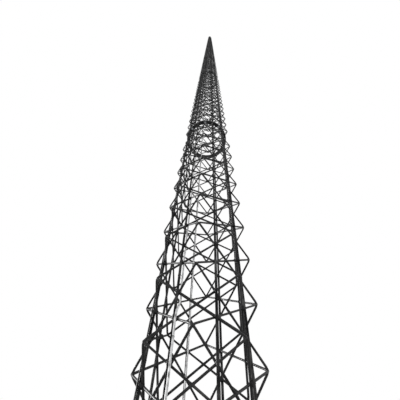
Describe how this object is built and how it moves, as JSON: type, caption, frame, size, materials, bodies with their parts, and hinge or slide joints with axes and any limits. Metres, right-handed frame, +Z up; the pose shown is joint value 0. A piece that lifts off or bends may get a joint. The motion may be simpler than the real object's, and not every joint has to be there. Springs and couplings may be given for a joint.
{
  "type": "lattice radio mast, 1:2 scale model",
  "caption": "Slender open lattice mast: crossing diagonal bars round straight legs, in bolted sections on a round base plate.",
  "frame": {"origin": "centre of the base plate's underside", "axes": "+Z up the mast; +X towards one of the outer nodes of the lattice"},
  "size_m": [0.3899, 0.39, 36.025],
  "materials": {
    "bracing": "dark fibre composite bars, satin",
    "leg": "dark fibre composite rods and end rings, satin",
    "plate": "dull grey coated steel plate"
  },
  "bodies": {
    "root": {"base_plate": "plate", "frame_01": "leg", "lattice_01_lower": "bracing", "lattice_01_upper": "bracing", "frame_02": "leg", "lattice_02_lower": "bracing", "lattice_02_upper": "bracing", "frame_03": "leg", "lattice_03_lower": "bracing", "lattice_03_upper": "bracing", "frame_04": "leg", "lattice_04_lower": "bracing", "lattice_04_upper": "bracing", "frame_05": "leg", "lattice_05_lower": "bracing", "lattice_05_upper": "bracing", "frame_06": "leg", "lattice_06_lower": "bracing", "lattice_06_upper": "bracing", "frame_07": "leg", "lattice_07_lower": "bracing", "lattice_07_upper": "bracing", "frame_08": "leg", "lattice_08_lower": "bracing", "lattice_08_upper": "bracing", "frame_09": "leg", "lattice_09_lower": "bracing", "lattice_09_upper": "bracing", "frame_10": "leg", "lattice_10_lower": "bracing", "lattice_10_upper": "bracing", "frame_11": "leg", "lattice_11_lower": "bracing", "lattice_11_upper": "bracing", "frame_12": "leg", "lattice_12_lower": "bracing", "lattice_12_upper": "bracing", "top_plate": "plate"}
  },
  "joints": []
}
